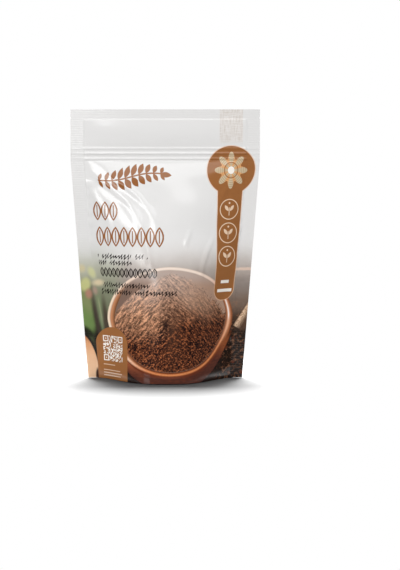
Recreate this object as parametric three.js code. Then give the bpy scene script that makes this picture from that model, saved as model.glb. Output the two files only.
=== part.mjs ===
import * as THREE from 'three';

// A shut stand-up pouch of ground cloves, filled and standing on its opened bottom gusset.
// Millimetres, +Z up. The printed front faces -Y and +X is to its right. The origin lies on the
// surface that the pouch stands on, under the middle of the pouch.
//
// Two flat films, front and back, are welded to each other down both sides and along the top, and
// each to a folded gusset at the bottom. The filling draws the sides in and pushes the films out,
// so a level of the pouch is a lens between two flat fins. Beside the gusset the two layers of a
// fin part, and the lens turns into a bell. A place on a film is given as it lay flat: `across`
// runs from the middle to either side, and `up` from the bottom edge to the top.

// Driving dimensions.
const PANEL_WIDTH = 140;
const PANEL_HEIGHT = 200;
const STANDING_HEIGHT = 199.5;
const FOOT_WIDTH = 114.8;
const SIDE_SEAL_WIDTH = 9.5;
const TOP_SEAL_HEIGHT = 6.8;
const SEAL_THICKNESS = 0.6;
const UNSEALED_STEP = 0.25;
const STEP_WIDTH = 0.9;

// The press-to-close strip behind the films: three ridges across the pouch.
const ZIP_RIDGE_HEIGHTS = [163.4, 167.3, 171.0];
const ZIP_RIDGE_HALF_WIDTH = 1.5;
const ZIP_RIDGE_RISE = 0.5;
const ZIP_RISE_IN_SEALS = 0.3;
const HEADER_PILLOW = 0.7;

// The tear nick in each side edge, level with the foot of the top seal.
const NICK_HEIGHT = 193.7;
const NICK_HALF_HEIGHT = 0.8;
const NICK_DEPTH = 0.5;

// The base: a thin rim, a groove behind it, a belly flat on the ground and a tent at each end.
const RIM_LIFT = 0.8;
const RIM_LIFT_REACH = 60;
const GUSSET_HEIGHT = 38;
const GROOVE_HEIGHT = 3.6;
const TENT_HEIGHT = 24;

// Where the base changes, as shares of the way out from its middle: to the front or back edge, and
// for the ENDS, RISE and FALL to the side edge.
const UNDERSIDE_EDGE = 0.965;
const GROOVE_OUTSIDE = 0.9;
const GROOVE_INSIDE = 0.88;
const BELLY_EDGE = 0.6;
const RIM_START = 0.8;
const GROOVE_ENDS = [0.9, 0.7];
const TENT_RISE = [0.36, 0.7];
const TENT_FALL = [0.93, 0.75];
const TENT_ROUNDNESS = 1.6;

// Shape of a level: a blunt lens in the empty upper part, and lower down a bell, which is flatter
// in the middle and eases out to the sides. The films spread from each other under the zip.
const LENS = { roundness: 2.3, taper: 1 };
const BELL = { roundness: 3, taper: 3 };
const BELL_TOP = 92;
const BELL_FOOT = 50;
const SEAL_SOFTNESS = 0.07;
const SPREAD_POWER = 0.15;
const SECTION_STEPS = 48;

const HALF_PANEL = PANEL_WIDTH / 2;
const HALF_BODY = HALF_PANEL - SIDE_SEAL_WIDTH;
const TOP_SEAL_START = PANEL_HEIGHT - TOP_SEAL_HEIGHT;
const BODY_TOP = ZIP_RIDGE_HEIGHTS[0] - ZIP_RIDGE_HALF_WIDTH;
const HEADER_START = ZIP_RIDGE_HEIGHTS.at(-1) + ZIP_RIDGE_HALF_WIDTH;

const clamp01 = (t) => Math.min(1, Math.max(0, t));
const ease = (low, high, value) => {
  const t = clamp01((value - low) / (high - low));
  return t * t * (3 - 2 * t);
};
const spaced = (from, to, count) =>
  Array.from({ length: count + 1 }, (_, k) => from + ((to - from) * k) / count);

// Half the distance between the two side edges: straight down to the zip, then drawn in evenly.
function halfWidth(up) {
  const drawnIn = (PANEL_WIDTH - FOOT_WIDTH) / 2;
  const nick = NICK_DEPTH * clamp01(1 - Math.abs(up - NICK_HEIGHT) / NICK_HALF_HEIGHT);
  return HALF_PANEL - drawnIn * clamp01(1 - up / BODY_TOP) - nick;
}

// Depth of a level for a share of the way from the middle to the side edge, 1 in the middle. It
// ends at the side seal, and beside the gusset, where the layers of the seal part, at the edge.
function profile(share, up) {
  const opened = ease(GUSSET_HEIGHT, 0, up);
  const sealStart = 1 - SIDE_SEAL_WIDTH / halfWidth(up);
  const reach = sealStart + (1 - sealStart) * opened;
  const toBell = (ease(BELL_TOP, BELL_FOOT, up) + opened) / 2;
  const roundness = LENS.roundness + (BELL.roundness - LENS.roundness) * toBell;
  const taper = LENS.taper + (BELL.taper - LENS.taper) * toBell;
  const soft = (depth) => Math.hypot(depth, SEAL_SOFTNESS) - SEAL_SOFTNESS;
  return soft(clamp01(1 - (share / reach) ** roundness) ** taper) / soft(1);
}

// Distances along the film of a level with that depth, at even steps from the middle to the edge.
function distancesAlong(up, depth) {
  const found = [0];
  for (let k = 1; k <= SECTION_STEPS; k++) {
    const rise = profile(k / SECTION_STEPS, up) - profile((k - 1) / SECTION_STEPS, up);
    found.push(found[k - 1] + Math.hypot(halfWidth(up) / SECTION_STEPS, depth * rise));
  }
  return found;
}

// How far the films stand out at a level. Nothing holds them apart at the zip, and at the foot they
// stand out as far as the width of the film lets them.
function bulge(up) {
  let [low, high] = [0, HALF_PANEL];
  for (let k = 0; k < 30; k++) {
    const depth = (low + high) / 2;
    if (distancesAlong(up, depth).at(-1) < HALF_PANEL) low = depth;
    else high = depth;
  }
  const below = clamp01(1 - up / BODY_TOP);
  return low * (below * (2 - below)) ** SPREAD_POWER;
}

// What stands proud of the smooth film: unsealed film against seals, the zip, the header's pillow.
function relief(across, up) {
  const inBody = ease(0, STEP_WIDTH, HALF_BODY - Math.abs(across));
  const unsealed = inBody * ease(0, STEP_WIDTH, TOP_SEAL_START - up);
  let zip = 0;
  for (const height of ZIP_RIDGE_HEIGHTS) {
    const near = clamp01(1 - Math.abs(up - height) / ZIP_RIDGE_HALF_WIDTH);
    zip += near * near * (3 - 2 * near);
  }
  const zipRise = ZIP_RIDGE_RISE * (ZIP_RISE_IN_SEALS + (1 - ZIP_RISE_IN_SEALS) * inBody);
  const intoHeader = clamp01((up - HEADER_START) / (TOP_SEAL_START - HEADER_START));
  const pillow = Math.sin(Math.PI * intoHeader) * clamp01(1 - (across / HALF_BODY) ** 4);
  return UNSEALED_STEP * unsealed + zipRise * zip + HEADER_PILLOW * pillow;
}

// One level of the front film: for each place across, its x, its distance from the mid plane,
// and its share of the way from the middle to the side edge.
function level(up, places) {
  const depth = bulge(up);
  const along = distancesAlong(up, depth);
  return places.map((across) => {
    const target = (Math.abs(across) / HALF_PANEL) * along.at(-1);
    const k = Math.max(1, along.findIndex((distance) => distance >= target - 1e-9));
    const part = (target - along[k - 1]) / (along[k] - along[k - 1]);
    const share = (k - 1 + part) / SECTION_STEPS;
    const out = SEAL_THICKNESS / 2 + depth * profile(share, up) + relief(across, up);
    return { x: Math.sign(across) * share * halfWidth(up), out, share };
  });
}

// Height of a film above the ground: the bottom edge is lifted a little where it stands out.
function filmHeight(up, share) {
  const lift = RIM_LIFT * profile(share, 0) * clamp01(1 - up / RIM_LIFT_REACH);
  return (up * STANDING_HEIGHT) / PANEL_HEIGHT + lift;
}

// Height of the base, for a share of the way to the side and of the way from front to back.
function baseHeight(share, through) {
  const side = Math.abs(through);
  const outside = ease(UNDERSIDE_EDGE, GROOVE_OUTSIDE, side);
  const groove = outside * ease(BELLY_EDGE, GROOVE_INSIDE, side) * ease(...GROOVE_ENDS, share);
  const tent = clamp01(1 - (side / UNDERSIDE_EDGE) ** TENT_ROUNDNESS);
  const tentRise = ease(...TENT_RISE, share) * ease(...TENT_FALL, share);
  const rim = RIM_LIFT * profile(share, 0) * ease(RIM_START, UNDERSIDE_EDGE, side);
  return GROOVE_HEIGHT * groove + TENT_HEIGHT * tentRise * tent + rim;
}

// Places across the films and levels up them, closer together where there is relief.
const acrossPlaces = [
  ...spaced(-HALF_PANEL, -HALF_BODY, 2),
  -HALF_BODY + STEP_WIDTH,
  ...spaced(-HALF_BODY + 3, HALF_BODY - 3, 29),
  HALF_BODY - STEP_WIDTH,
  ...spaced(HALF_BODY, HALF_PANEL, 2),
];
const upPlaces = [
  0,
  5,
  ...spaced(12, BODY_TOP - 10, 15),
  BODY_TOP - 5,
  BODY_TOP - 1.5,
  ...ZIP_RIDGE_HEIGHTS.flatMap((height) => [-0.99, -0.5, 0, 0.5, 0.99].map(
    (share) => height + share * ZIP_RIDGE_HALF_WIDTH)),
  ...spaced(HEADER_START + 4, TOP_SEAL_START - 4, 3),
  NICK_HEIGHT - NICK_HALF_HEIGHT,
  NICK_HEIGHT,
  NICK_HEIGHT + NICK_HALF_HEIGHT,
  PANEL_HEIGHT,
];
const halfThroughPlaces = [0.2, 0.4, BELLY_EDGE, 0.78, GROOVE_OUTSIDE, UNDERSIDE_EDGE];
const throughPlaces = [
  ...halfThroughPlaces.map((place) => -place).reverse(),
  0,
  ...halfThroughPlaces,
];

// The skin is one loop of points for each place across: down the front, under the base, up the
// back. Loops side by side are joined by quads, and each end loop is closed across.
function pouchGeometry() {
  const levels = upPlaces.map((up) => level(up, acrossPlaces));
  const positions = [];
  acrossPlaces.forEach((_, column) => {
    const foot = levels[0][column];
    for (let row = upPlaces.length - 1; row >= 0; row--) {
      const { x, out, share } = levels[row][column];
      positions.push(x, -out, filmHeight(upPlaces[row], share));
    }
    for (const through of throughPlaces) {
      positions.push(foot.x, through * foot.out, baseHeight(foot.share, through));
    }
    for (let row = 0; row < upPlaces.length; row++) {
      const { x, out, share } = levels[row][column];
      positions.push(x, out, filmHeight(upPlaces[row], share));
    }
  });

  const loop = 2 * upPlaces.length + throughPlaces.length;
  const lastColumn = acrossPlaces.length - 1;
  const triangles = [];
  const quad = (a, b, c, d) => triangles.push(a, b, c, a, c, d);
  for (let column = 0; column < lastColumn; column++) {
    for (let k = 0; k < loop; k++) {
      const next = (k + 1) % loop;
      const here = column * loop;
      quad(here + k, here + next, here + loop + next, here + loop + k);
    }
  }
  for (let k = 0; k + 1 < loop - 1 - k; k++) {
    const [front, frontNext, backNext, back] = [k, k + 1, loop - 2 - k, loop - 1 - k];
    const end = lastColumn * loop;
    if (frontNext === backNext) {
      triangles.push(front, back, frontNext);
      triangles.push(end + front, end + frontNext, end + back);
    } else {
      quad(front, back, backNext, frontNext);
      quad(end + front, end + frontNext, end + backNext, end + back);
    }
  }

  const geometry = new THREE.BufferGeometry();
  geometry.setAttribute('position', new THREE.Float32BufferAttribute(positions, 3));
  geometry.setIndex(triangles);
  geometry.computeVertexNormals();
  return geometry;
}

const printedFilm = new THREE.MeshStandardMaterial({
  color: new THREE.Color(0.82, 0.8, 0.78),
  roughness: 0.35,
  metalness: 0,
});

const pouch = new THREE.Mesh(pouchGeometry(), printedFilm);
pouch.name = 'pouch';

const stand_up_pouch = new THREE.Group();
stand_up_pouch.add(pouch);

export default stand_up_pouch;
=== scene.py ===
"""A shut stand-up pouch of ground cloves: printed film, welded seals and an opened gusset.

The films and the gusset are thin closed shells, shaped in millimetres by the same rules as the
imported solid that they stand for, and then creased. A place on a film is given as it lay flat:
`across` runs from the middle to either side, and `up` from the bottom edge to the top.
"""

import math

import bpy
import numpy as np
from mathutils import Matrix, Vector


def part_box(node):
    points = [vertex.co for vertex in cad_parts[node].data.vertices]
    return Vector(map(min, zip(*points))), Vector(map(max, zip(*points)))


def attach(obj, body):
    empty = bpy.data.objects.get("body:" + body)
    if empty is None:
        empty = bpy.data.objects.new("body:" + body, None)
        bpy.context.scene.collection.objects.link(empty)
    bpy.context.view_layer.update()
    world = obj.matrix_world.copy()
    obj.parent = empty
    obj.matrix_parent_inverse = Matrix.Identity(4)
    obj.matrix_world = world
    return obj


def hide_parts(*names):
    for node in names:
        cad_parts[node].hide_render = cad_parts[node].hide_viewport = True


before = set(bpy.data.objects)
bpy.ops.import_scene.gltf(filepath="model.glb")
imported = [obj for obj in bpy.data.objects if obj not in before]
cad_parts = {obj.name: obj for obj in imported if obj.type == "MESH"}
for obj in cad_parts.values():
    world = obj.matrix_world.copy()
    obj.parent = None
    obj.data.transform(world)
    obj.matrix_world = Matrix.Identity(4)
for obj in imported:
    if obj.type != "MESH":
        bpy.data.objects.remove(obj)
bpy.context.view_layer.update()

MM = 0.001
low_corner, high_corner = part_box("pouch")

# The pouch, in millimetres.
PANEL_WIDTH = (high_corner.x - low_corner.x) / MM
PANEL_HEIGHT = 200.0
STANDING_HEIGHT = (high_corner.z - low_corner.z) / MM
FOOT_WIDTH = 114.8
SIDE_SEAL_WIDTH = 9.5
TOP_SEAL_HEIGHT = 6.8
SEAL_THICKNESS = 0.6
FILM_THICKNESS = 0.28
UNSEALED_STEP = 0.25  # how far the film stands out beside a seal
STEP_WIDTH = 0.9

ZIP_RIDGE_HEIGHTS = (163.4, 167.3, 171.0)
ZIP_RIDGE_HALF_WIDTH = 1.5
ZIP_RIDGE_RISE = 0.5
ZIP_RIDGE_SHARES = (0.8, 1.0, 0.65)  # of that rise
CRIMP_SHARE, CRIMP_RIB, CRIMP_PITCH = 0.3, 0.12, 2.6  # what the side seals leave of the ridges
HEADER_PILLOW = 0.7

NICK_HEIGHT = 193.7
NICK_HALF_HEIGHT = 0.8
NICK_DEPTH = 0.5
NICK_REACH = 1.5

RIM_LIFT = 0.5
RIM_LIFT_REACH = 60.0

PUCKER_RISE, PUCKER_REACH = 0.28, 5.0  # beside the side seals
SLACK_RISE, EXTRA_SLACK = 0.15, 0.2  # of the loose film, and more above the filling
SWAY_RISE, SWAY_LENGTH = 0.9, 220.0
INNER_RELIEF = 0.5  # share of the relief that the inner face follows
WELD_SINK = 0.12  # of the weld of film and gusset
WELD_MIDDLE, WELD_CLIMB, WELD_POWER = 4.5, 34.0, 2.6

GUSSET_HEIGHT = 38.0
GUSSET_THICKNESS = 0.3
GUSSET_GAP = 0.06  # between it and the films
# The gusset's underside, by shares of the way through to a rim, or across to a side.
UNDERSIDE_EDGE = 0.965
RIM_START, RIM_CLEARANCE = 0.8, 0.1
GROOVE_HEIGHT, GROOVE_INSIDE, BELLY_EDGE = 4.4, 0.92, 0.6
GROOVE_ENDS = (0.9, 0.7)
TENT_HEIGHT, TENT_ROUNDNESS = 24.0, 1.6
TENT_RISE, TENT_FALL = (0.36, 0.7), (0.95, 0.78)
FOLD_RISE, FOLD_COUNT, FOLD_CENTRE = 0.35, 9, 0.4

LENS_ROUNDNESS, LENS_TAPER = 2.3, 1.0
BELL_ROUNDNESS, BELL_TAPER = 3.0, 3.0
BELL_TOP, BELL_FOOT = 92.0, 50.0
SEAL_SOFTNESS = 0.07
SPREAD_POWER = 0.15

HALF_PANEL = PANEL_WIDTH / 2
HALF_BODY = HALF_PANEL - SIDE_SEAL_WIDTH
TOP_SEAL_START = PANEL_HEIGHT - TOP_SEAL_HEIGHT
BODY_TOP = ZIP_RIDGE_HEIGHTS[0] - ZIP_RIDGE_HALF_WIDTH
HEADER_START = ZIP_RIDGE_HEIGHTS[-1] + ZIP_RIDGE_HALF_WIDTH


def ease(start, end, value):
    t = np.clip((value - start) / (end - start), 0, 1)
    return t * t * (3 - 2 * t)


# ---- the smooth pouch


def half_width(up):
    """Half the distance between the side edges: straight to the zip, then drawn in evenly."""
    drawn_in = (PANEL_WIDTH - FOOT_WIDTH) / 2
    return HALF_PANEL - drawn_in * np.clip(1 - up / BODY_TOP, 0, 1)


def profile(share, up):
    """Depth of a level, 1 in the middle: a lens in the empty upper part, and lower down a bell. It
    ends at the side seal, and beside the gusset, where the layers of the seal part, at the edge."""
    opened = ease(GUSSET_HEIGHT, 0, up)
    seal_start = 1 - SIDE_SEAL_WIDTH / half_width(up)
    reach = seal_start + (1 - seal_start) * opened
    to_bell = (ease(BELL_TOP, BELL_FOOT, up) + opened) / 2
    roundness = LENS_ROUNDNESS + (BELL_ROUNDNESS - LENS_ROUNDNESS) * to_bell
    taper = LENS_TAPER + (BELL_TAPER - LENS_TAPER) * to_bell
    depth = np.clip(1 - (share / reach) ** roundness, 0, 1) ** taper
    soft = np.hypot(depth, SEAL_SOFTNESS) - SEAL_SOFTNESS
    return soft / (math.hypot(1, SEAL_SOFTNESS) - SEAL_SOFTNESS)


SHARES = np.linspace(0, 1, 193)


def distances_along(up, depth):
    """Distances along the film of each level with its depth, from the middle to the edge."""
    rises = np.diff(profile(SHARES[None, :], up[:, None]), axis=1) * depth[:, None]
    steps = np.hypot(half_width(up)[:, None] * np.diff(SHARES), rises)
    return np.concatenate([np.zeros((len(up), 1)), np.cumsum(steps, axis=1)], axis=1)


def bulge(up):
    """How far the films stand out at each level: at the foot, as far as they can reach."""
    least, most = np.zeros_like(up), np.full_like(up, HALF_PANEL)
    for _ in range(30):
        depth = (least + most) / 2
        slack = distances_along(up, depth)[:, -1] < HALF_PANEL
        least, most = np.where(slack, depth, least), np.where(slack, most, depth)
    below = np.clip(1 - up / BODY_TOP, 0, 1)
    return least * (below * (2 - below)) ** SPREAD_POWER


def smooth_film(across, up):
    """The smooth front film on a grid: x, distance from the mid plane, z and share of the way out."""
    depth = bulge(up)
    along = distances_along(up, depth)
    share = np.empty((len(up), len(across)))
    for row in range(len(up)):
        target = np.abs(across) / HALF_PANEL * along[row, -1]
        share[row] = np.interp(target, along[row], SHARES)
    x = np.sign(across) * share * half_width(up)[:, None]
    out = SEAL_THICKNESS / 2 + depth[:, None] * profile(share, up[:, None])
    lift = RIM_LIFT * profile(share, 0.0) * np.clip(1 - up / RIM_LIFT_REACH, 0, 1)[:, None]
    z = up[:, None] * STANDING_HEIGHT / PANEL_HEIGHT + lift
    return x, out, z, share


# ---- relief of the films


def bump_along(points, across, up):
    """Distance to a smooth curve through points, and how far along it that is, from 0 to 1."""
    points = np.array(points, float)
    knots = np.arange(len(points))
    fine = np.linspace(0, len(points) - 1, 10 * len(points))
    curve = np.stack([catmull(points[:, k], knots, fine) for k in (0, 1)], axis=1)
    nearest = np.full(across.shape, np.inf)
    place = np.zeros(across.shape)
    for k in range(len(curve) - 1):
        start, run = curve[k], curve[k + 1] - curve[k]
        t = ((across - start[0]) * run[0] + (up - start[1]) * run[1]) / (run @ run)
        t = np.clip(t, 0, 1)
        away = np.hypot(across - start[0] - t * run[0], up - start[1] - t * run[1])
        closer = away < nearest
        nearest = np.where(closer, away, nearest)
        place = np.where(closer, (k + t) / (len(curve) - 1), place)
    return nearest, place


def catmull(values, knots, at):
    """Catmull-Rom values at fractional knots."""
    padded = np.concatenate([[2 * values[0] - values[1]], values, [2 * values[-1] - values[-2]]])
    k = np.clip(np.floor(at).astype(int), 0, len(values) - 2)
    t = at - k
    a, b, c, d = (padded[k + j] for j in range(4))
    return 0.5 * (
        2 * b
        + (c - a) * t
        + (2 * a - 5 * b + 4 * c - d) * t**2
        + (3 * b - a - 3 * c + d) * t**3
    )


# Creases pressed into the front by the filling: height, half width, then the way they run.
FRONT_CREASES = (
    (0.9, 2.6, ((-57, 158), (-49, 148), (-38, 139), (-28, 131), (-20, 119), (-14, 101), (-11, 84))),
    (0.7, 2.2, ((-46, 158), (-38, 149), (-27, 142), (-17, 133), (-9, 121), (-5, 104))),
    (0.6, 2.4, ((-58, 146), (-53, 135), (-46, 124), (-41, 110), (-40, 92))),
    (-0.8, 3.2, ((-55, 152), (-44, 142), (-33, 134), (-24, 124), (-18, 108))),
    (0.8, 1.6, ((19, 112), (16, 104), (15, 98))),
    (0.75, 1.8, ((37, 106), (32, 96), (28, 84), (27, 74))),
    (0.4, 2.2, ((56, 156), (49, 146), (42, 133), (38, 118))),
)
BACK_CREASES = (
    (0.8, 2.6, ((56, 157), (46, 148), (36, 138), (28, 124), (23, 106))),
    (0.6, 2.2, ((-57, 155), (-49, 145), (-41, 132), (-36, 114), (-34, 96))),
    (-0.6, 3.0, ((50, 154), (40, 143), (31, 131), (26, 117))),
    (0.5, 2.0, ((-14, 120), (-10, 106), (-9, 92))),
)
FRONT_SEED, BACK_SEED = 3, 11


def crease_relief(creases, across, up):
    """How far the creases stand out, fading to their ends and to their sides."""
    total = np.zeros(across.shape)
    for height, half, points in creases:
        away, place = bump_along(points, across, up)
        taper = np.sin(np.pi * np.clip(place, 0.02, 0.98)) ** 0.7
        total += height * taper * np.exp(-((away / half) ** 2))
    return total


def waves(across, up, seed, length, count=9):
    """Gentle random undulation between about -1 and 1, of that wavelength."""
    rng = np.random.default_rng(seed)
    total = np.zeros(across.shape)
    for _ in range(count):
        heading = rng.uniform(0, 2 * np.pi)
        number = 2 * np.pi / (length * rng.uniform(0.75, 1.4))
        phase = rng.uniform(0, 2 * np.pi)
        total += np.sin(number * (across * math.cos(heading) + up * math.sin(heading)) + phase)
    return total / math.sqrt(count)


def relief(across, up, creases, seed):
    """What stands proud of the smooth film, in millimetres."""
    reach = HALF_BODY - np.abs(across)
    in_body = ease(0, STEP_WIDTH, reach)
    unsealed = in_body * ease(0, STEP_WIDTH, TOP_SEAL_START - up)
    zip_rise = np.zeros(across.shape)
    for height, share in zip(ZIP_RIDGE_HEIGHTS, ZIP_RIDGE_SHARES):
        near = np.clip(1 - np.abs(up - height) / ZIP_RIDGE_HALF_WIDTH, 0, 1)
        zip_rise += share * near * near * (3 - 2 * near)
    crimp = CRIMP_SHARE + CRIMP_RIB * np.cos(2 * np.pi * across / CRIMP_PITCH)
    zip_rise *= ZIP_RIDGE_RISE * (crimp + (1 - crimp) * in_body)
    into_header = np.clip((up - HEADER_START) / (TOP_SEAL_START - HEADER_START), 0, 1)
    pillow = np.sin(np.pi * into_header) * np.clip(1 - (across / HALF_BODY) ** 4, 0, 1)
    below_zip = ease(0, 18, BODY_TOP - up)
    pucker = np.exp(-reach / PUCKER_REACH) * in_body * below_zip
    pucker = pucker * waves(across * 0.25, up, seed + 1, 8.0)
    slack = ease(0, 16, reach) * below_zip * ease(0, 30, up)
    return (
        UNSEALED_STEP * unsealed
        + zip_rise
        + HEADER_PILLOW * pillow * (1 + 0.15 * waves(across, up, seed + 2, 55.0, 5))
        + PUCKER_RISE * pucker
        + (SLACK_RISE + EXTRA_SLACK * ease(50, 90, up)) * slack * waves(across, up, seed + 3, 38.0)
        + in_body * below_zip * crease_relief(creases, across, up)
    )


def sway(across, up):
    """How far both films together stand off the mid plane, where no filling holds them."""
    loose = 0.25 + 0.75 * ease(BODY_TOP - 30, PANEL_HEIGHT, up)
    swing = 1 - np.cos(2 * np.pi * across / SWAY_LENGTH)
    return SWAY_RISE * loose * swing * ease(20, 90, up)


def foot_weld(across, up):
    """1 on the weld of film and gusset, which climbs from the middle of the foot to its sides."""
    top = WELD_CLIMB * np.clip(np.abs(across) / HALF_BODY, 0, 1) ** WELD_POWER + WELD_MIDDLE
    return ease(-0.6, 0.6, top - up)


# ---- meshes


# Places on the square map for baking: left, bottom, width and height of the outer face of a film,
# of the gusset's and of any inner face, and then of the strips for the four thin edges.
FILM_MAP = (0.01, 0.01, 0.69, 0.98)
GUSSET_MAP = (0.01, 0.01, 0.69, 0.45)
INNER_MAP = (0.74, 0.02, 0.25, 0.3)
STRIP_LEFT, STRIP_WIDTH, STRIP_PITCH = 0.76, 0.02, 0.06
STRIP_FOOT, STRIP_TOP = 0.36, 0.98


def spaced(start, end, count):
    return np.linspace(start, end, count + 1)


def film_places():
    """Places across a film and levels up it, closer together where there is relief."""
    half = np.concatenate(
        [
            spaced(0, HALF_BODY - 3, 58),
            spaced(HALF_BODY - 3, HALF_BODY, 7)[1:],
            spaced(HALF_BODY, HALF_PANEL, 7)[1:],
        ]
    )
    across = np.concatenate([-half[:0:-1], half])
    up = np.concatenate(
        [
            spaced(0, BODY_TOP - 3, 150),
            spaced(BODY_TOP - 3, HEADER_START + 1, 40)[1:],
            spaced(HEADER_START + 1, TOP_SEAL_START - 2, 14)[1:],
            spaced(TOP_SEAL_START - 2, TOP_SEAL_START + 2, 12)[1:],
            spaced(TOP_SEAL_START + 2, PANEL_HEIGHT, 5)[1:],
        ]
    )
    return across, up


def grid_normals(points):
    """Unit normals of a grid of points, on the side that its rows and columns turn to."""
    normals = np.cross(np.gradient(points, axis=1), np.gradient(points, axis=0))
    return normals / np.linalg.norm(normals, axis=2, keepdims=True)


def shell_mesh(name, outer, inner, film_map, map_frame, material):
    """A thin closed shell between two grids of points, with a map of places on the flat film, and
    a map for baking that gives the outer face the most room."""
    rows, columns = outer.shape[:2]
    index = np.arange(rows * columns).reshape(rows, columns)
    under = index + rows * columns

    def quads(a):
        return np.stack([a[:-1, :-1], a[:-1, 1:], a[1:, 1:], a[1:, :-1]], axis=-1).reshape(-1, 4)

    edges = [index[0, :], index[:, -1], index[-1, ::-1], index[::-1, 0]]
    walls = [
        np.stack([a[:-1], a[:-1] + rows * columns, a[1:] + rows * columns, a[1:]], axis=-1)
        for a in edges
    ]
    faces = np.concatenate([quads(index), quads(under)[:, ::-1], *walls])
    points = np.concatenate([outer.reshape(-1, 3), inner.reshape(-1, 3)]) * MM

    mesh = bpy.data.meshes.new(name)
    mesh.from_pydata(points.tolist(), [], faces.tolist())
    mesh.update()

    film = mesh.uv_layers.new(name="Film")
    film_places_twice = np.concatenate([film_map.reshape(-1, 2)] * 2)
    film.data.foreach_set("uv", film_places_twice[faces.ravel()].astype(np.float32).ravel())

    flat = film_map.reshape(-1, 2)
    unit = (flat - flat.min(0)) / (flat.max(0) - flat.min(0))

    def placed(left, bottom, width, height):
        return unit * (width, height) + (left, bottom)

    bake_uv = np.empty((len(faces), 4, 2))
    face_count = len(quads(index))
    first = 2 * face_count
    bake_uv[:face_count] = placed(*map_frame)[faces[:face_count]]
    bake_uv[face_count:first] = placed(*INNER_MAP)[faces[face_count:first] - len(flat)]
    for k, wall in enumerate(walls):
        along = np.linspace(STRIP_FOOT, STRIP_TOP, len(wall) + 1)
        near = STRIP_LEFT + STRIP_PITCH * k
        far = near + STRIP_WIDTH
        strip = bake_uv[first : first + len(wall)]
        corners = ((near, along[:-1]), (far, along[:-1]), (far, along[1:]), (near, along[1:]))
        for corner, (sideways, lengthways) in enumerate(corners):
            strip[:, corner, 0] = sideways
            strip[:, corner, 1] = lengthways
        first += len(wall)
    bake = mesh.uv_layers.new(name="OFBake")
    bake.data.foreach_set("uv", bake_uv.astype(np.float32).ravel())

    mesh.shade_smooth()
    mesh.set_sharp_from_angle(angle=math.radians(50))
    mesh.materials.append(material)
    piece = bpy.data.objects.new(name, mesh)
    bpy.context.scene.collection.objects.link(piece)
    return piece


def film_piece(name, turn, creases, seed, material):
    """One of the two films. turn is 1 for the front, and -1 for the back, which faces away."""
    across, up = film_places()
    x, out, z, _ = smooth_film(across, up)
    across_grid, up_grid = np.meshgrid(across, up)
    edge = np.clip((np.abs(across_grid) - HALF_PANEL + NICK_REACH) / NICK_REACH, 0, 1)
    nick = NICK_DEPTH * np.clip(1 - np.abs(up_grid - NICK_HEIGHT) / NICK_HALF_HEIGHT, 0, 1)
    x = x - np.sign(across_grid) * nick * edge
    smooth = np.stack([x, -out, z], axis=2)
    normals = grid_normals(smooth)
    rise = relief(across_grid, up_grid, creases, seed)
    in_body = ease(0, 2, HALF_BODY - np.abs(across_grid))
    rise -= WELD_SINK * foot_weld(across_grid, up_grid) * in_body
    outer = smooth + normals * rise[..., None]
    inner = smooth - normals * FILM_THICKNESS
    inner = inner + normals * np.clip(rise, 0, None)[..., None] * INNER_RELIEF
    for grid in (outer, inner):
        grid[..., 0] *= turn
        grid[..., 1] *= turn
        grid[..., 1] += sway(across_grid * turn, up_grid)
        grid[..., 2] = np.clip(grid[..., 2], 0, None)
    film_map = np.stack([across_grid, up_grid], axis=2)
    piece = shell_mesh(name, outer, inner, film_map, FILM_MAP, material)
    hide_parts("pouch")
    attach(piece, "root")
    return piece


def gusset_piece(material):
    """The opened gusset: up behind each rim, over, and down to a belly that rests on the ground."""
    across = spaced(-HALF_PANEL, HALF_PANEL, 130)
    x, out, z, share = (a[0] for a in smooth_film(across, np.array([0.0])))
    side = np.concatenate([spaced(0, 0.6, 12), spaced(0.6, 0.9, 12)[1:], spaced(0.9, 1, 12)[1:]])
    through = np.concatenate([-side[:0:-1], side])
    share_grid, through_grid = np.meshgrid(share, through)
    reach = np.abs(through_grid)
    groove = ease(1.0, UNDERSIDE_EDGE, reach) * ease(BELLY_EDGE, GROOVE_INSIDE, reach)
    groove = groove * ease(*GROOVE_ENDS, share_grid)
    tent = np.clip(1 - reach**TENT_ROUNDNESS, 0, 1)
    tent_rise = ease(*TENT_RISE, share_grid) * ease(*TENT_FALL, share_grid)
    rim = (z[None, :] + RIM_CLEARANCE) * ease(RIM_START, UNDERSIDE_EDGE, reach)
    depth = np.clip(out - FILM_THICKNESS - GUSSET_GAP, 0.01, None)
    heading = np.arctan2(through_grid, share_grid - FOLD_CENTRE)
    folds = FOLD_RISE * np.sin(FOLD_COUNT * heading + 0.5) * tent_rise
    height = GROOVE_HEIGHT * groove + TENT_HEIGHT * tent_rise * tent + rim + folds * tent
    height = np.clip(height, 0, None)
    lower = np.stack([np.broadcast_to(x, height.shape), through_grid * depth, height], axis=2)
    upper = lower + (0, 0, GUSSET_THICKNESS)
    film_map = np.stack(np.broadcast_arrays(across[None, :], through_grid * GUSSET_HEIGHT), axis=2)
    # The grid faces up, so the shell is built from its upper face, and the lower one is the back.
    piece = shell_mesh("gusset", upper, lower, film_map, GUSSET_MAP, material)
    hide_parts("pouch")
    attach(piece, "root")
    return piece


# ---- fields worked out by nodes

PRINT_BLUR = 0.15  # half the width of a printed edge
GLOSS_VEIL = 0.014  # light that the film's gloss adds everywhere, of 1 for white
SHEEN = 0.5
SMOOTHEST, ROUGHNESS_SPREAD = 0.1, 0.06
PEEL_HEIGHT = 0.006  # of the film's orange peel, in millimetres
RIB_PITCH, RIB_HEIGHT = 1.3, 0.02  # of the fine ribs pressed into the seals


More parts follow.
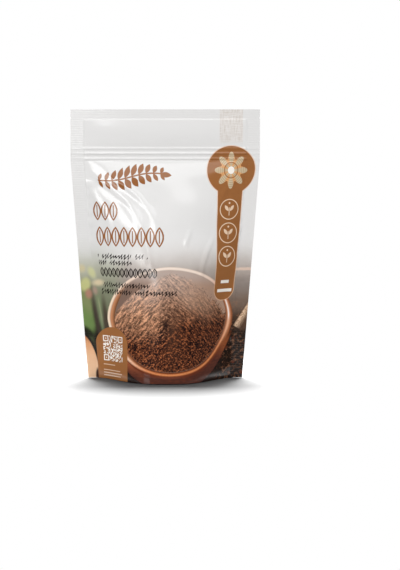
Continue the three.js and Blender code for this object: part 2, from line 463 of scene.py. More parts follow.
class Field:
    """A number or a colour that varies over a surface, made by nodes of the current material."""

    nodes = None
    links = None

    def __init__(self, socket):
        self.socket = socket

    def __add__(self, other):
        return calculate("ADD", self, other)

    def __sub__(self, other):
        return calculate("SUBTRACT", self, other)

    def __rsub__(self, other):
        return calculate("SUBTRACT", other, self)

    def __mul__(self, other):
        return calculate("MULTIPLY", self, other)

    def __truediv__(self, other):
        return calculate("DIVIDE", self, other)

    def __neg__(self):
        return calculate("MULTIPLY", self, -1)

    __radd__ = __add__
    __rmul__ = __mul__


def connect(socket, value):
    """Give an input a field, a colour or a number."""
    if isinstance(value, Field):
        Field.links.new(value.socket, socket)
    elif isinstance(value, tuple):
        socket.default_value = (*value, 1)
    else:
        socket.default_value = value


def calculate(operation, *values):
    node = Field.nodes.new("ShaderNodeMath")
    node.operation = operation
    for socket, value in zip(node.inputs, values):
        connect(socket, value)
    return Field(node.outputs[0])


def absolute(value):
    return calculate("ABSOLUTE", value)


def larger(a, b):
    return calculate("MAXIMUM", a, b)


def smaller(a, b):
    return calculate("MINIMUM", a, b)


def wrap(value, period):
    """The distance to the nearest whole multiple of the period, with its sign."""
    return calculate("WRAP", value, period / 2, -period / 2)


def whole(value):
    return calculate("FLOOR", value)


def length(x, y):
    return calculate("SQRT", x * x + y * y)


def blend(start, end, value):
    """From 0 at start to 1 at end, with both ends eased."""
    node = Field.nodes.new("ShaderNodeMapRange")
    node.interpolation_type = "SMOOTHSTEP"
    connect(node.inputs["Value"], value)
    connect(node.inputs["From Min"], start)
    connect(node.inputs["From Max"], end)
    return Field(node.outputs["Result"])


def inside(distance, blur=PRINT_BLUR):
    """1 where a distance to an outline is below 0, blurred over so many millimetres."""
    return blend(blur, -blur, distance)


def line(distance, half_width, blur=PRINT_BLUR):
    return inside(absolute(distance) - half_width, blur)


def over(below, colour, mask):
    """A colour laid over another where a mask is 1."""
    node = Field.nodes.new("ShaderNodeMix")
    node.data_type = "RGBA"
    sockets = {socket.name: socket for socket in node.inputs if socket.type == "RGBA"}
    connect(node.inputs[0], mask)
    connect(sockets["A"], below)
    connect(sockets["B"], colour)
    return Field(next(socket for socket in node.outputs if socket.type == "RGBA"))


def vector(x, y, z=0.0):
    node = Field.nodes.new("ShaderNodeCombineXYZ")
    for socket, value in zip(node.inputs, (x, y, z)):
        connect(socket, value)
    return Field(node.outputs[0])


def noise(x, y, seed=0.0, detail=2.0, roughness=0.5):
    """Smooth random values between 0 and 1, for x and y in units of one bump."""
    node = Field.nodes.new("ShaderNodeTexNoise")
    connect(node.inputs["Vector"], vector(x, y, seed))
    node.inputs["Scale"].default_value = 1.0
    node.inputs["Detail"].default_value = detail
    node.inputs["Roughness"].default_value = roughness
    return Field(node.outputs["Fac"])


def grains(x, y, seed=0.0):
    """Grains of one unit: how far a place is from the middle of its grain, and its own number."""
    node = Field.nodes.new("ShaderNodeTexVoronoi")
    connect(node.inputs["Vector"], vector(x, y, seed))
    node.inputs["Scale"].default_value = 1.0
    return Field(node.outputs["Distance"]), Field(node.outputs["Color"])


def coin(x, y, seed=0.0):
    """A random value between 0 and 1 for each whole x and y."""
    node = Field.nodes.new("ShaderNodeTexWhiteNoise")
    node.noise_dimensions = "3D"
    connect(node.inputs["Vector"], vector(whole(x), whole(y), seed))
    return Field(node.outputs["Value"])


# ---- shapes, as distances to them


def turned(x, y, centre, degrees=0.0):
    """Places seen from a centre, along axes turned anticlockwise."""
    x, y = x - centre[0], y - centre[1]
    if not degrees:
        return x, y
    c, s = math.cos(math.radians(degrees)), math.sin(math.radians(degrees))
    return x * c + y * s, y * c - x * s


def circle(x, y, centre, radius):
    return length(x - centre[0], y - centre[1]) - radius


def ellipse(x, y, centre, radii, degrees=0.0):
    x, y = turned(x, y, centre, degrees)
    return (length(x / radii[0], y / radii[1]) - 1) * min(radii)


def superellipse(x, y, centre, radii, power):
    """Like an ellipse, but pointed to its sides with a power under 2."""
    x = calculate("POWER", absolute(x - centre[0]) / radii[0], power)
    y = calculate("POWER", absolute(y - centre[1]) / radii[1], power)
    return (calculate("POWER", x + y, calculate("DIVIDE", 1, power)) - 1) * min(radii)


def box(x, y, centre, half_size, corner=0.3):
    """A rounded box."""
    x = absolute(x - centre[0]) - (half_size[0] - corner)
    y = absolute(y - centre[1]) - (half_size[1] - corner)
    return length(larger(x, 0), larger(y, 0)) + smaller(larger(x, y), 0) - corner


def leaf(x, y, centre, half_length, half_width, degrees=0.0):
    """A leaf with two points, along x."""
    x, y = turned(x, y, centre, degrees)
    return (absolute(y) / half_width + x * x / half_length**2 - 1) * (half_width * 0.8)


def bars(x, y, spans, height):
    """Rows of bars: each span is (left, right, middle height)."""
    found = None
    for left, right, middle in spans:
        bar = box(x, y, ((left + right) / 2, middle), ((right - left) / 2, height / 2))
        found = bar if found is None else smaller(found, bar)
    return found


# ---- the print


def ink(red, green, blue):
    """A printed colour, from the sRGB bytes that it shows as, less what the gloss adds to it."""
    linear = (((value / 255 + 0.055) / 1.055) ** 2.4 for value in (red, green, blue))
    return tuple(max(value - GLOSS_VEIL, 0.001) for value in linear)


PALE = ink(229, 228, 227)
BROWN = ink(160, 108, 68)
LEAF_BROWN = ink(152, 98, 58)
CREAM = ink(240, 212, 184)
PEACH = ink(236, 190, 152)
CHALK = ink(246, 240, 232)
BLACK = ink(38, 33, 32)

# The heap: its gaps, crumbs and crests, the light on it, and the haze at its peak.
CLOVE_GAP, CLOVE_CRUMB, CLOVE_CREST = ink(40, 26, 20), ink(100, 60, 44), ink(176, 106, 70)
CLOVE_LIGHT, CLOVE_HAZE = ink(240, 184, 146), ink(220, 208, 200)

# The printed picture fades into the pale film between these heights.
PICTURE_TOP = 108.0
PICTURE_CLEAR = 80.0

# The bowl: the line along its rim, and its wall, each an ellipse with its centre and two radii.
RIM_LINE = ((3.2, 45.0), (53.0, 38.7))
WALL = ((5.5, 43.0), (54.5, 47.0))
PEAK = (5.0, 80.5)

BADGE_CENTRE, BADGE_RADIUS = (49.0, 155.0), 17.9
STRIPE_HALF_WIDTH, STRIPE_FOOT = 9.6, 59.0
RING_CENTRES = ((48.8, 126.2), (48.8, 108.8), (48.8, 91.5))
RING_RADIUS = 7.3
ARCH_LEFT, ARCH_RIGHT, ARCH_TOP = -62.0, -30.5, 38.6
FIELD_SIZE, FIELD_FOOT = (20.6, 18.6), 13.4
FIELD_BLOCKS, CORNER_BLOCKS = 25, 6  # along a side of the field, and of a square in its corner

# Rows of outlined leaves: left, right, foot, top, width of a leaf and half a line.
BROWN_ROWS = ((-55.5, -35.7, 118.0, 132.0, 6.6, 0.5), (-54.3, -0.9, 99.0, 113.5, 6.675, 0.5))
BLACK_ROW = (-52.7, -6.0, 76.4, 83.6, 3.6, 0.34)
# Rows of scribble: left, right, height and seed.
SCRIBBLE_ROWS = (
    (-54.0, -12.8, 91.5, 21.0), (-53.4, -24.0, 87.0, 22.0),
    (-53.7, -11.3, 70.5, 23.0), (-54.2, 8.7, 65.4, 24.0),
)


def ramp(value, stops):
    """A colour that runs through stops of (value, colour)."""
    low, high = stops[0][0], stops[-1][0]
    node = Field.nodes.new("ShaderNodeValToRGB")
    marks = node.color_ramp.elements
    while len(marks) < len(stops):
        marks.new(0.5)
    for mark, (at, colour) in zip(marks, stops):
        mark.position = (at - low) / (high - low)
        mark.color = (*colour, 1)
    connect(node.inputs["Fac"], (value - low) / (high - low))
    return Field(node.outputs["Color"])


def backdrop(across, up):
    """Behind the bowl: leaves on the left, and a sack and loose cloves in the dark on the right."""
    drift = noise(across / 14, up / 14, 1.0) - 0.5
    height = up + drift * 14
    colour = ramp(height, (
        (0, ink(46, 36, 32)), (32, ink(48, 39, 34)), (46, ink(80, 64, 54)), (57, ink(122, 104, 92)),
        (70, ink(142, 131, 124)), (78, ink(172, 160, 152)), (100, ink(212, 206, 201)),
    ))
    left = blend(-26, -46, across + drift * 12)
    green = ramp(height, (
        (20, ink(52, 50, 42)), (36, ink(74, 76, 60)), (50, ink(112, 116, 92)),
        (66, ink(140, 143, 120)), (80, ink(182, 182, 164)), (98, ink(206, 206, 198)),
    ))
    colour = over(colour, green, left)

    # Leaves, dark stems and pale buds.
    vein = noise(across / 2.0, up / 12, 2.0)
    for centre, radii, degrees, shade, blur in (
        ((-56.0, 48.0), (2.9, 15.5), 8, ink(126, 138, 106), 1.4),
        ((-67.0, 49.0), (5.4, 19.0), 9, ink(114, 140, 84), 1.2),
        ((-66.5, 60.0), (4.0, 11.0), 9, ink(134, 142, 100), 2.4),
    ):
        patch = inside(ellipse(across, up, centre, radii, degrees), blur)
        colour = over(colour, shade, patch * (0.72 + vein * 0.45))
    midrib = line(across + 56.4 + (up - 48) * 0.12, 0.3, 0.7) * inside(absolute(up - 50) - 9, 4)
    colour = over(colour, ink(168, 168, 134), midrib * 0.7)
    for centre, radii, degrees, shade in (
        ((-60.4, 44.0), (1.9, 21.0), 5, ink(72, 63, 58)),
        ((-52.6, 39.0), (2.6, 19.0), 3, ink(80, 69, 61)),
        ((-67.0, 34.0), (6.0, 2.6), -46, ink(38, 36, 30)),
        ((-60.5, 27.0), (2.6, 9.0), 12, ink(40, 36, 31)),
    ):
        colour = over(colour, shade, inside(ellipse(across, up, centre, radii, degrees), 1.5) * 0.92)
    for centre, radii, degrees, shade in (
        ((-66.5, 70.0), (3.6, 5.0), -20, ink(202, 202, 140)),
        ((-61.0, 79.0), (2.6, 4.2), 24, ink(206, 206, 156)),
        ((-56.0, 71.5), (4.6, 2.2), 8, ink(226, 208, 172)),
        ((-64.6, 63.0), (2.4, 3.4), 0, ink(182, 132, 116)),
        ((-68.0, 82.0), (2.4, 2.8), 0, ink(208, 196, 158)),
        ((-59.5, 65.5), (1.6, 2.6), 10, ink(176, 148, 134)),
    ):
        colour = over(colour, shade, inside(ellipse(across, up, centre, radii, degrees), 1.5) * 0.85)

    # A wooden scoop at the lower left, with its dark socket.
    scoop = ellipse(across, up, (-75.5, 8.0), (13.8, 27.0), 4)
    grain = noise(across / 1.4, up / 11, 3.0)
    wood = ramp(up + grain * 8, (
        (6, ink(236, 196, 160)), (20, ink(234, 188, 150)), (30, ink(224, 166, 122)),
        (38, ink(178, 110, 70)),
    ))
    colour = over(colour, ink(36, 31, 27), inside(scoop - 1.4, 1.2))
    colour = over(colour, wood, inside(scoop, 0.4))
    colour = over(colour, ink(64, 42, 34), inside(ellipse(across, up, (-62.2, 1.0), (1.9, 6.2)), 0.5))

    # Whole cloves in the dark on the right, below a mottled haze.
    dark = blend(34, 58, across) * blend(46, 30, up)
    mottle = noise(across / 2.6, up / 2.4, 5.0, 3.0, 0.6)
    colour = over(colour, ink(112, 78, 60), blend(0.48, 0.72, mottle) * dark * 0.5)
    colour = over(colour, ink(24, 20, 20), blend(0.5, 0.3, mottle) * dark * 0.6)
    haze = blend(40, 54, across) * blend(68, 50, up)
    colour = over(colour, ink(158, 112, 86), blend(0.5, 0.72, mottle) * haze * 0.5)
    near, number = grains(across / 5.4, up / 4.6, 4.0)
    clove = blend(0.42, 0.3, near + (mottle - 0.5) * 0.3) * blend(0.42, 0.5, number) * dark
    colour = over(colour, ink(92, 52, 40), clove * 0.9)
    colour = over(colour, ink(156, 98, 72), blend(0.24, 0.04, near) * clove * 0.75)

    # A shelf edge in the haze, and the mouth of a sack.
    shelf = line(up - 81.6 + drift * 1.5, 1.0, 0.7) * blend(50, 60, across)
    colour = over(colour, ink(230, 202, 184), shelf * 0.8)
    x, y = turned(across, up, (61.4, 41.0), 61)
    weave = blend(0.35, 0.7, noise(x / 1.6, y / 0.9, 6.0))
    cloth = over(ink(236, 202, 170), ink(160, 128, 102), weave)
    cloth = over(cloth, ink(88, 68, 56), blend(-0.5, -6.0, y))
    sack = larger(y, larger(-2.0 - x, -9.0 - y))
    colour = over(colour, ink(60, 48, 42), inside(sack - 0.8, 1.0) * 0.5)
    return over(colour, cloth, inside(sack, 0.6) * blend(30, 40, up))


def powder(across, up):
    """The heap in the bowl: crumbs in streaks that run down both flanks from its peak."""
    broad = noise(across / 11, up / 9, 9.0)
    bend = (broad - 0.5) * 4
    flank = blend(-14, 16, across + (up - 50) * 0.25 + (broad - 0.5) * 16)
    x, y = turned(across, up, PEAK, 47)
    left_streak = noise(x / 7.0, (y + bend) / 1.6, 7.0, 2.0, 0.6)
    x, y = turned(across, up, PEAK, -42)
    right_streak = noise(x / 6.0, (y + bend) / 1.35, 17.0, 2.0, 0.6)
    clump = noise(across / 1.5, up / 1.3, 8.0, 3.0, 0.7)
    grain, number = grains(across / 1.0, up / 0.9, 10.0)

    # The tone, from 0 in a gap to 1 on a crest.
    streak = left_streak * (1 - flank) + right_streak * flank
    low = blend(48, 22, up)
    tone = 0.5 + (streak - 0.5) * (3.6 - low * 1.2 - flank * 0.6) + (clump - 0.5) * (2.1 + low * 1.2)
    tone = tone + (0.42 - grain) * (0.45 + low * 0.35) + (number - 0.5) * (0.3 + low * 0.25)

    # Warm light grows up the heap, most on the crests, and haze towards the peak. The right flank
    # turns away from the light, so it is lit as if it lay lower.
    height = up + (broad - 0.5) * 12
    crumb, crest = blend(0.0, 0.5, tone), blend(0.52, 1.05, tone)
    colour = over(over(CLOVE_GAP, CLOVE_CRUMB, crumb), CLOVE_CREST, crest)
    light = blend(24, 52, height - flank * 14) * (crumb * 0.25 + crest * 0.45 + 0.15)
    colour = over(colour, CLOVE_LIGHT, light)
    colour = over(colour, CLOVE_GAP, flank * 0.22)
    colour = over(colour, CLOVE_HAZE, blend(44, 84, height - flank * 6) * (crumb * 0.15 + 0.42))

    # A smoother face in haze below the peak, and hollows where the heap lies in its own shade.
    haze = inside(ellipse(across, up, (25.0, 62.0), (15.0, 9.0), -34), 8.0)
    colour = over(colour, ink(176, 142, 120), haze * 0.45)
    shade = inside(ellipse(across, up, (4.0, 45.0), (6.0, 22.0), 4), 6.0)
    colour = over(colour, ink(78, 56, 47), shade * (0.75 - tone * 0.5))
    for centre, radii, degrees, depth in (
        ((-1.6, 36.5), (4.0, 12.0), -12, 0.75), ((-30.0, 25.0), (6.0, 2.0), 34, 0.55),
        ((-9.0, 15.0), (2.0, 7.0), -24, 0.5), ((18.0, 32.0), (5.0, 3.0), -30, 0.4),
        ((24.0, 24.0), (8.0, 5.0), 10, 0.35), ((-22.0, 48.0), (2.2, 6.0), -40, 0.3),
    ):
        shade = inside(ellipse(across, up, centre, radii, degrees), 2.6)
        colour = over(colour, ink(42, 28, 26), shade * depth * blend(0.9, 0.3, tone))
    return colour


def bowl(across, up, below):
    """The wooden bowl and its heap, over the backdrop."""
    wood = noise(across / 5, up / 1.5, 11.0, 4.0, 0.65)
    speckle = blend(0.5, 0.72, noise(across / 1.1, up / 1.0, 32.0, 3.0, 0.7))
    left, right = blend(-8, -46, across), blend(34, 56, across)
    low, high = blend(46, 20, up), blend(58, 82, up)
    from_line = superellipse(across, up, *RIM_LINE, 1.92 - blend(14, -14, across) * 0.16)
    inner_reach = 1.9 + left * (1 - high) * 2.9 - high * 0.6
    outer_reach = 2.0 + low * 0.8 - left * 1.2 - high * 0.9

    # The outer wall, lighter where it turns to the light on either side.
    wall = over(ink(92, 56, 48), ink(206, 116, 76), left * 0.8 * blend(9, 2, from_line))
    wall = over(wall, ink(146, 84, 54), blend(42, 54, across) * blend(12, 28, up))
    wall = over(wall, ink(56, 36, 34), blend(0.5, 0.7, wood) * 0.4)
    wall = over(wall, ink(142, 74, 48), blend(0.5, 0.32, wood) * 0.35)
    body = ellipse(across, up, *WALL)
    colour = over(below, ink(44, 32, 28), inside(body - 0.8, 1.2) * low * 0.6)
    colour = over(colour, wall, inside(body, 0.5) * blend(38, 26, up))

    # The rim: a light line, with a slope to the inside and a rounded edge outside.
    edge = over(ink(92, 50, 38), ink(124, 82, 58), left)
    edge = over(edge, ink(146, 88, 58), right * blend(10, 30, up))
    edge = over(edge, ink(188, 164, 148), high)
    slope = over(ink(150, 84, 52), ink(206, 142, 102), left)
    slope = over(slope, ink(182, 122, 90), right * blend(20, 40, up))
    slope = over(slope, ink(212, 190, 174), high)
    crest = over(ink(230, 146, 94), ink(255, 230, 204), left)
    crest = over(crest, ink(240, 182, 146), right * blend(16, 40, up))
    crest = over(crest, ink(240, 222, 208), high)
    from_edge = smaller(from_line + inner_reach, outer_reach - from_line)
    rim = over(edge, slope, blend(0.0, 1.5 + left * 1.6, from_edge))
    rim = over(rim, ink(112, 60, 44), blend(0.3, 1.8, from_line) * low * (1 - right))
    rim = over(rim, ink(92, 48, 34), speckle * low * 0.6)
    crest_line = line(from_line - left * 0.3, 0.6 + left * 0.6 + high * 0.4, 0.8)
    rim = over(rim, crest, crest_line * (1 - speckle * low * 0.4))
    ring = inside(larger(from_line - outer_reach, -from_line - inner_reach), 0.4)
    colour = over(colour, rim, ring)
    glint = line(from_line + 0.1, 0.3, 0.35) * blend(47, 51, across)
    colour = over(colour, ink(252, 246, 242), glint * blend(42, 48, up) * blend(64, 59, up))

    # The far side of the hollow, in shade on the left, and then the heap.
    inner = over(ink(132, 108, 96), ink(178, 146, 126), blend(-34, 24, across))
    inner = over(inner, ink(182, 164, 154), blend(68, 80, up))
    hollow = from_line + inner_reach
    colour = over(colour, inner, inside(hollow, 0.5))
    x = absolute(across - PEAK[0])
    spikes_x, spikes_y = turned(across, up, PEAK, 52)
    spikes = noise(spikes_x / 9, spikes_y / 1.1, 18.0, 2.0, 0.6) - 0.5
    crumbs = noise(across / 1.3, up / 1.3, 19.0, 3.0, 0.7) - 0.5
    side = blend(4, 20, across)
    heap = up - PEAK[1] + x * 0.38 + x * x * 0.0058 - spikes * side * 22 + crumbs * 4
    return over(colour, powder(across, up), inside(larger(heap, hollow), 0.7))


def linen(across, up, colour):
    """A strip of pale linen above the badge."""
    warp = noise(across / 0.5, up / 7, 12.0)
    weft = noise(across / 7, up / 0.5, 13.0)
    cloth = over(ink(232, 228, 225), ink(214, 207, 200), blend(0.8, 1.25, warp + weft))
    strip = box(across, up, (48.9, 185.0), (8.6, 15.0))
    return over(colour, cloth, inside(strip, 0.4) * blend(173, 178, up))


def badge(across, up, colour):
    """A keyhole-shaped badge with an eight-petalled flower, three rings and two bars."""
    stripe_top = BADGE_CENTRE[1]
    middle = (STRIPE_FOOT + stripe_top) / 2
    narrower = (across - BADGE_CENTRE[0]) * (blend(130, 60, up) * 0.09 + 1)
    stripe = box(narrower, up, (0.0, middle),
                 (STRIPE_HALF_WIDTH, (stripe_top - STRIPE_FOOT) / 2), 8.5)
    shape = smaller(stripe, circle(across, up, BADGE_CENTRE, BADGE_RADIUS))
    colour = over(colour, PEACH, inside(shape - 0.6) * 0.6)
    tone = over(BROWN, ink(152, 101, 62), noise(across / 6, up / 6, 14.0))
    colour = over(colour, tone, inside(shape))

    x, y = turned(across, up, BADGE_CENTRE)
    x = x * 1.12
    away = length(x, y)
    wave = calculate("COSINE", calculate("ARCTAN2", y, x) * 8)
    petal = over(ink(206, 188, 158), ink(226, 166, 112), blend(0.1, -0.5, wave))
    hatch = blend(-0.2, 0.5, calculate("COSINE", away * 4.2))
    petal = over(petal, ink(176, 146, 110), hatch * 0.6)
    colour = over(colour, petal, inside(away - (11.2 + wave * 2.6)))
    colour = over(colour, BROWN, line(away - 5.6, 0.35))
    colour = over(colour, CHALK, inside(away - 2.8))

    for centre in RING_CENTRES:
        x, y = turned(across, up, centre)
        colour = over(colour, CREAM, line(length(x, y) - RING_RADIUS, 0.32))
        left_leaf = leaf(x, y, (-2.1, 0.9), 2.6, 1.15, 125)
        shoots = smaller(left_leaf, leaf(x, y, (2.1, 0.9), 2.6, 1.15, 55))
        stem = box(x, y, (0.0, -1.6), (0.3, 3.0))
        colour = over(colour, CREAM, inside(smaller(shoots, stem)) * 0.9)
        colour = over(colour, CREAM, inside(circle(x, y, (0.0, 4.6), 0.7)))
    foot_bars = bars(across, up, ((45.6, 53.2, 72.6), (43.2, 56.4, 66.0)), 2.3)
    return over(colour, CHALK, inside(foot_bars))


def sprig(across, up, colour):
    """A leafy sprig at the upper left, a little on the slant."""
    x, y = turned(across, up, (-25.6, 150.0), 5)
    rise = y - calculate("SINE", x / 8.2) * 1.5
    reach = 25.0
    size = blend(reach + 8, 0, absolute(x)) * 0.55 + 0.5
    column = wrap(x - 2.6, 5.2)
    leaves = leaf(column / size, absolute(rise) / size, (0.4, 4.2), 4.5, 2.1, 62)
    shape = larger(smaller(leaves, absolute(rise) - 0.55), absolute(x) - reach)
    tip = leaf(x, y, (reach + 1.0, -0.6), 4.4, 2.0, -12)
    return over(colour, LEAF_BROWN, inside(smaller(shape, tip)))


def leaf_row(across, up, colour, shade, left, right, foot, top, pitch, half_line):
    """A row of tall outlined leaves, each with a rib."""
    middle, half = (foot + top) / 2, (top - foot) / 2
    x = wrap(across - left - pitch / 2, pitch)
    y = up - middle
    blade = pitch * 0.42
    edge = leaf(y, x, (0.0, 0.0), half - half_line, blade)
    rib = larger(absolute(x) - half_line * 0.8, absolute(y) - half * 0.62)
    shape = smaller(absolute(edge) - half_line, rib)
    within = larger(absolute(across - (left + right) / 2) - (right - left) / 2, absolute(y) - half)
    return over(colour, shade, inside(larger(shape, within)))


def scribble(across, up, colour):
    """Rows of slanted scribble, broken now and then."""
    slanted = across - up * 0.5
    for left, right, middle, seed in SCRIBBLE_ROWS:
        height = noise(across / 1.9, middle, seed, 1.0) * 3.2 - 0.5
        wave = calculate("SINE", slanted * 2.7 + noise(across / 4, middle, seed) * 9) * height
        gap = blend(0.16, 0.2, coin(slanted / 3.1, middle, seed))
        row = larger(absolute(up - middle + wave) - 0.58 - absolute(wave) * 0.25,
                     absolute(across - (left + right) / 2) - (right - left) / 2)
        colour = over(colour, BLACK, inside(row, 0.35) * gap)
    return colour


def arch(across, up, colour):
    """A brown arch at the lower left, with a field of random blocks and four fine lines."""
    half = (ARCH_RIGHT - ARCH_LEFT) / 2
    middle = (ARCH_LEFT + ARCH_RIGHT) / 2
    x = across - middle
    rise = half * 0.78
    crown = (length(x / half, (up - (ARCH_TOP - rise)) / rise) - 1) * rise
    body = larger(absolute(x) - half, up - (ARCH_TOP - rise))
    colour = over(colour, BROWN, inside(smaller(crown, body)))

    # The blocks, with a ringed square in three corners.
    half_field = FIELD_BLOCKS / 2
    x = (across - middle) * (FIELD_BLOCKS / FIELD_SIZE[0])
    y = (up - FIELD_FOOT) * (FIELD_BLOCKS / FIELD_SIZE[1]) - half_field
    blocks = blend(0.42, 0.58, coin(x + half_field, y + half_field, 31.0))
    corner = half_field - CORNER_BLOCKS / 2
    from_corner = larger(absolute(absolute(x) - corner), absolute(absolute(y) - corner))
    plain_corner = smaller(x, -y) - 1.0
    from_corner = larger(from_corner, blend(0, 0.1, plain_corner) * half_field)
    rings = smaller(absolute(from_corner - (CORNER_BLOCKS / 2 - 0.5)) - 0.5, from_corner - 0.6)
    squares = over(blocks, inside(rings, 0.1), inside(from_corner - CORNER_BLOCKS / 2 - 0.6, 0.1))
    field = box(x, y, (0.0, 0.0), (half_field, half_field))
    colour = over(colour, over(BROWN, CHALK, squares), inside(field))
    lines = bars(across, up, ((-57.0, -44.5, 10.6), (-57.0, -38.5, 6.6), (-57.0, -36.5, 4.6),
                              (-57.0, -38.0, 2.6)), 0.6)
    return over(colour, CREAM, inside(lines) * 0.75)


def front_colour(across, up):
    """The front: a picture that fades into the pale film, with the other print over it."""
    picture = bowl(across, up, backdrop(across, up))
    drift = noise(across / 22, up / 22, 15.0) - 0.5
    fade = blend(PICTURE_CLEAR, PICTURE_TOP, up + drift * 10)
    colour = over(picture, PALE, fade)
    colour = linen(across, up, colour)
    colour = sprig(across, up, colour)
    for row in BROWN_ROWS:
        colour = leaf_row(across, up, colour, LEAF_BROWN, *row)
    colour = scribble(across, up, colour)
    colour = leaf_row(across, up, colour, BLACK, *BLACK_ROW)
    colour = badge(across, up, colour)
    return arch(across, up, colour)


def dark_foot(across, up, seed):
    """The mottled brown at the foot of the back and on the gusset."""
    mottle = noise(across / 3, up / 3, seed, 4.0, 0.6)
    return over(ink(74, 46, 36), ink(128, 86, 64), blend(0.35, 0.7, mottle))


def back_colour(across, up):
    """The back: the same pale film over a dark foot, with a plain panel of bars."""
    dark = dark_foot(across, up, 41.0)
    drift = noise(across / 22, up / 22, 42.0) - 0.5
    colour = over(dark, PALE, blend(20, 84, up + drift * 12))
    panel = box(across, up, (0.0, 88.0), (44.0, 56.0), 8.0)
    colour = over(colour, PEACH, inside(panel - 0.7) * 0.75)
    colour = over(colour, BROWN, inside(panel))
    row = wrap(up - 88.0, 6.0)
    number = coin((up - 85.0) / 6.0, 0.0, 43.0)
    lines = larger(absolute(row) - 0.6, across - (number * 40 - 6))
    lines = larger(larger(lines, -38 - across), absolute(up - 88) - 44)
    return over(colour, CREAM, inside(lines) * 0.8)


def gusset_colour(across, up):
    """The gusset carries the dark foot of the print on."""
    return dark_foot(across, up, 44.0)


def film_material(name, paint):
    """Satin laminate film over a print."""
    material = bpy.data.materials.new(name)
    material.use_nodes = True
    Field.nodes, Field.links = material.node_tree.nodes, material.node_tree.links
    shader = Field.nodes["Principled BSDF"]
    place = Field.nodes.new("ShaderNodeUVMap")
    place.uv_map = "Film"
    axes = Field.nodes.new("ShaderNodeSeparateXYZ")
    Field.links.new(place.outputs[0], axes.inputs[0])
    across, up = Field(axes.outputs[0]), Field(axes.outputs[1])

    connect(shader.inputs["Base Color"], paint(across, up))
    haze = noise(across / 9, up / 9, 51.0)
    connect(shader.inputs["Roughness"], haze * ROUGHNESS_SPREAD + SMOOTHEST)
    shader.inputs["Specular IOR Level"].default_value = SHEEN

    orange_peel = noise(across / 1.6, up / 1.6, 52.0)
    in_seal = larger(blend(HALF_BODY - 0.4, HALF_BODY + 0.4, absolute(across)),
                     blend(TOP_SEAL_START - 0.4, TOP_SEAL_START + 0.4, up))
    rib = calculate("SINE", up * (2 * math.pi / RIB_PITCH))
    bump = Field.nodes.new("ShaderNodeBump")
    bump.inputs["Distance"].default_value = MM
    connect(bump.inputs["Height"], orange_peel * PEEL_HEIGHT + in_seal * rib * RIB_HEIGHT)
    Field.links.new(bump.outputs["Normal"], shader.inputs["Normal"])
    return material


# ---- camera, floor and light

CAMERA_DISTANCE = 1.1
CAMERA_HEIGHT = 0.18
AIM_HEIGHT = 0.1
PHOTO_SIZE = (400, 570)  # pixels
PHOTO_SCALE = 1.347  # pixels to a millimetre of the pouch
PHOTO_CENTRE = (165.2, 243.8)  # where the point aimed at shows, in pixels

FLOOR_TONE = 0.1
FLOOR_FADE = (0.11, 0.2)  # half the floor's width and depth, in metres
FLOOR_SOLID = 0.55  # of the way out
FLOOR_DROP = 0.0002  # metres below the pouch

ROOM_LIGHT, ROOM_GLOSS = 0.45, 0.12  # of white, on the pouch and in its gloss
# Soft lights: size in metres, radiance, degrees right of the camera's side and up, distance and the
# height that they face.
SOFTBOXES = {
    "key": ((1.17, 0.23), 6.0, -34, 16.5, 1.2, 0.12),
    "low_left": ((0.38, 0.06), 1.8, -33, -4.3, 1.2, 0.14),
    "overhead": ((1.2, 0.8), 2.0, 0, 50, 1.2, 0.12),
    "fill": ((0.8, 0.8), 1.2, 64, 36, 1.4, 0.1),
    "back_left": ((0.6, 0.9), 3.0, -140, 40, 1.2, 0.1),
    "back_right": ((0.6, 0.9), 3.0, 140, 40, 1.2, 0.1),
}
FLOOR_LIGHT = ((0.8, 0.42), 300.0, 180, 70, 1.2, 0.05)


def add_camera():
    """The camera at the photograph's viewing angle, shifted so that the pouch stands where it did."""
    data = bpy.data.cameras.new("camera")
    camera = bpy.data.objects.new("camera", data)
    bpy.context.scene.collection.objects.link(camera)
    eye = Vector((0, -CAMERA_DISTANCE, CAMERA_HEIGHT))
    aim = Vector((0, 0, AIM_HEIGHT))
    camera.location = eye
    camera.rotation_euler = (aim - eye).to_track_quat("-Z", "Y").to_euler()
    long_side = max(PHOTO_SIZE)
    view_height = long_side / PHOTO_SCALE * MM
    data.lens = data.sensor_width * (aim - eye).length / view_height
    data.shift_x = (PHOTO_SIZE[0] / 2 - PHOTO_CENTRE[0]) / long_side
    data.shift_y = -(PHOTO_SIZE[1] / 2 - PHOTO_CENTRE[1]) / long_side
    data.clip_end = 20
    bpy.context.scene.camera = camera


def add_softbox(name, size, radiance, azimuth, elevation, distance, aim_height, only=None):
    """A soft light that faces the aim from an azimuth right of the camera's side. It may light one
    object only, though all the others still cast shadows in it."""
    data = bpy.data.lights.new(name, "AREA")
    data.shape = "RECTANGLE"
    data.size, data.size_y = size
    data.energy = radiance * math.pi * size[0] * size[1]
    light = bpy.data.objects.new(name, data)
    azimuth, elevation = math.radians(azimuth), math.radians(elevation)
    flat = distance * math.cos(elevation)
    aim = Vector((0, 0, aim_height))
    light.location = aim + Vector((
        flat * math.sin(azimuth),
        -flat * math.cos(azimuth),
        distance * math.sin(elevation),
    ))
    light.rotation_euler = (aim - light.location).to_track_quat("-Z", "Y").to_euler()
    bpy.context.scene.collection.objects.link(light)
    if only:
        receivers = bpy.data.collections.new(name + "_receivers")
        receivers.objects.link(only)
        light.light_linking.receiver_collection = receivers


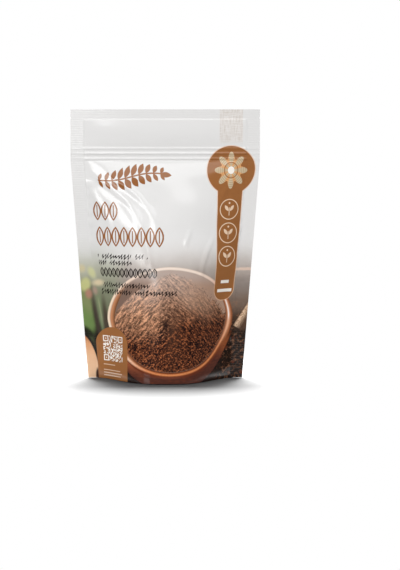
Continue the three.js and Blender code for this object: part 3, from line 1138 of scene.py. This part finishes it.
def add_floor():
    """A pale floor round the pouch that fades into the white behind it."""
    half_width, half_depth = FLOOR_FADE
    corners = [(-half_width, -half_depth, 0), (half_width, -half_depth, 0),
               (half_width, half_depth, 0), (-half_width, half_depth, 0)]
    mesh = bpy.data.meshes.new("floor")
    mesh.from_pydata(corners, [], [(0, 1, 2, 3)])
    floor = bpy.data.objects.new("floor", mesh)
    floor.location.z = -FLOOR_DROP
    bpy.context.scene.collection.objects.link(floor)
    material = bpy.data.materials.new("floor")
    material.use_nodes = True
    Field.nodes, Field.links = material.node_tree.nodes, material.node_tree.links
    shader = Field.nodes["Principled BSDF"]
    shader.inputs["Base Color"].default_value = (FLOOR_TONE, FLOOR_TONE, FLOOR_TONE, 1)
    shader.inputs["Roughness"].default_value = 0.9
    shader.inputs["Specular IOR Level"].default_value = 0.0
    place = Field.nodes.new("ShaderNodeTexCoord")
    axes = Field.nodes.new("ShaderNodeSeparateXYZ")
    Field.links.new(place.outputs["Object"], axes.inputs[0])
    away = length(Field(axes.outputs[0]) / half_width, Field(axes.outputs[1]) / half_depth)
    connect(shader.inputs["Alpha"], blend(1, FLOOR_SOLID, away))
    mesh.materials.append(material)
    return floor


def add_world():
    """White to the camera, dimmer on the pouch, and dimmer still in its gloss."""
    world = bpy.data.worlds.new("studio")
    bpy.context.scene.world = world
    world.use_nodes = True
    Field.nodes, Field.links = world.node_tree.nodes, world.node_tree.links
    path = Field.nodes.new("ShaderNodeLightPath")
    seen, mirrored = Field(path.outputs["Is Camera Ray"]), Field(path.outputs["Is Glossy Ray"])
    background = Field.nodes["Background"]
    background.inputs["Color"].default_value = (1, 1, 1, 1)
    strength = seen * (1 - ROOM_LIGHT) + mirrored * (ROOM_GLOSS - ROOM_LIGHT) + ROOM_LIGHT
    connect(background.inputs["Strength"], strength)


film_piece("front_film", 1, FRONT_CREASES, FRONT_SEED, film_material("front_print", front_colour))
film_piece("back_film", -1, BACK_CREASES, BACK_SEED, film_material("back_print", back_colour))
gusset_piece(film_material("gusset_print", gusset_colour))

floor = add_floor()
add_camera()
add_world()
for name, setting in SOFTBOXES.items():
    add_softbox(name, *setting)
add_softbox("top", *FLOOR_LIGHT, only=floor)
bpy.context.scene.view_settings.view_transform = "Standard"
